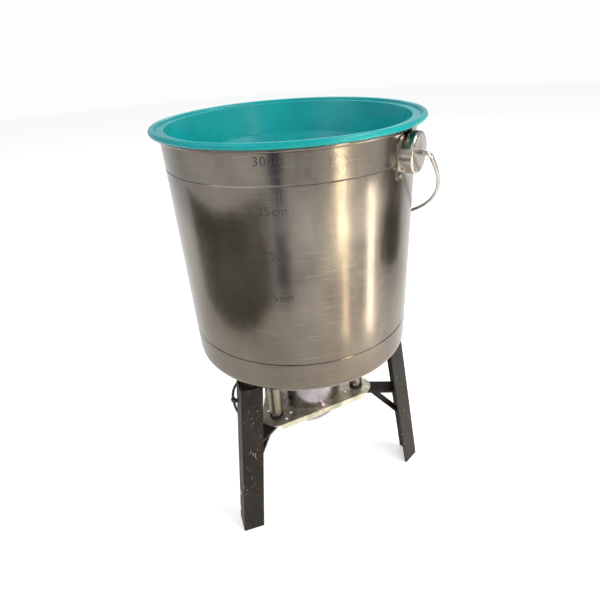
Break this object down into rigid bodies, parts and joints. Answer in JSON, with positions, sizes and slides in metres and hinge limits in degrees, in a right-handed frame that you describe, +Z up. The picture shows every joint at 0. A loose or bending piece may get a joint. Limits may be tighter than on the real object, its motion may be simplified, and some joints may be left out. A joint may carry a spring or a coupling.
{
  "type": "honey extractor",
  "caption": "Small motor-driven honey extractor: a tapered steel bucket with a plastic basin cover and wire bail, on an angle-iron tripod, with a spin motor hung below.",
  "frame": {"origin": "centre of the three feet, on the ground, on the bucket's axis", "axes": "+Z up along the bucket's axis, -Y towards the side that carries the height scale, +X to the right when facing the scale"},
  "size_m": [0.3468, 0.3339, 0.5618],
  "materials": {
    "leg_paint": "worn brown-black paint over mill scale",
    "black_rubber": "dull moulded rubber",
    "stainless": "brushed stainless sheet",
    "bright_steel": "bright drawn or plated steel",
    "tray_zinc": "zinc-plated pressing",
    "motor_steel": "smooth plated steel",
    "lamination": "stacked laminations",
    "bearing_steel": "ground steel",
    "copper": "varnished copper wire",
    "basin_plastic": "smooth turquoise moulding",
    "black_plastic": "satin moulding",
    "lead_sheath": "flexible black sheath"
  },
  "bodies": {
    "stand": {"leg_right": "leg_paint", "leg_left": "leg_paint", "leg_rear": "leg_paint", "bearer_plate_right": "leg_paint", "bearer_plate_left": "leg_paint", "bearer_plate_rear": "leg_paint", "motor_arm_right": "leg_paint", "motor_arm_left": "leg_paint", "motor_arm_rear": "leg_paint", "arm_brace_right": "leg_paint", "arm_brace_left": "leg_paint", "arm_brace_rear": "leg_paint", "rubber_cushion_right": "black_rubber", "rubber_cushion_left": "black_rubber", "rubber_cushion_rear": "black_rubber", "tray_bush_right": "black_rubber", "tray_bush_left": "black_rubber", "tray_bush_rear": "black_rubber", "shaft_seal": "black_rubber", "motor_lead_gland": "black_rubber", "box_lead_gland": "black_rubber", "mains_gland": "black_rubber", "bucket": "stainless", "ear_plate_right": "stainless", "ear_plate_left": "stainless", "ear_cup_right": "stainless", "ear_cup_left": "stainless", "outlet_spout": "stainless", "shaft_sleeve": "stainless", "ear_rivets": "bright_steel", "spacer_post_right": "bright_steel", "spacer_post_left": "bright_steel", "spacer_post_rear": "bright_steel", "tray_studs": "bright_steel", "tray_nuts": "bright_steel", "bearer_studs": "bright_steel", "bearer_nuts": "bright_steel", "box_screws": "bright_steel", "motor_screws": "bright_steel", "motor_tray": "tray_zinc", "motor_shell": "motor_steel", "motor_lower_bell": "motor_steel", "motor_upper_bell": "motor_steel", "stator_core": "lamination", "motor_lower_bearing": "bearing_steel", "motor_upper_bearing": "bearing_steel", "stator_windings": "copper", "capacitor_box": "black_plastic", "cable_tie": "black_plastic", "motor_lead": "lead_sheath"},
    "spinner": {"drive_shaft": "bright_steel", "motor_rotor": "lamination", "basket_bars": "stainless", "basket_floor": "stainless", "basket_hub": "stainless", "basket_rings": "stainless", "basket_rivets": "bright_steel", "shaft_nut": "bright_steel"},
    "bail": {"bail": "bright_steel"},
    "basin": {"basin": "basin_plastic"}
  },
  "joints": [
    {"name": "basket_spin", "type": "hinge", "parent": "stand", "child": "spinner", "pos_m": [0, 0, 0.3], "axis": [0, 0, 1], "continuous": true},
    {"name": "bail_swing", "type": "hinge", "parent": "stand", "child": "bail", "pos_m": [0, 0, 0.5275], "axis": [0.829, -0.5592, 0], "range_deg": [0, 263.8]},
    {"name": "basin_lift", "type": "slide", "parent": "stand", "child": "basin", "axis": [0, 0, 1], "range_m": [0, 0.15]}
  ]
}
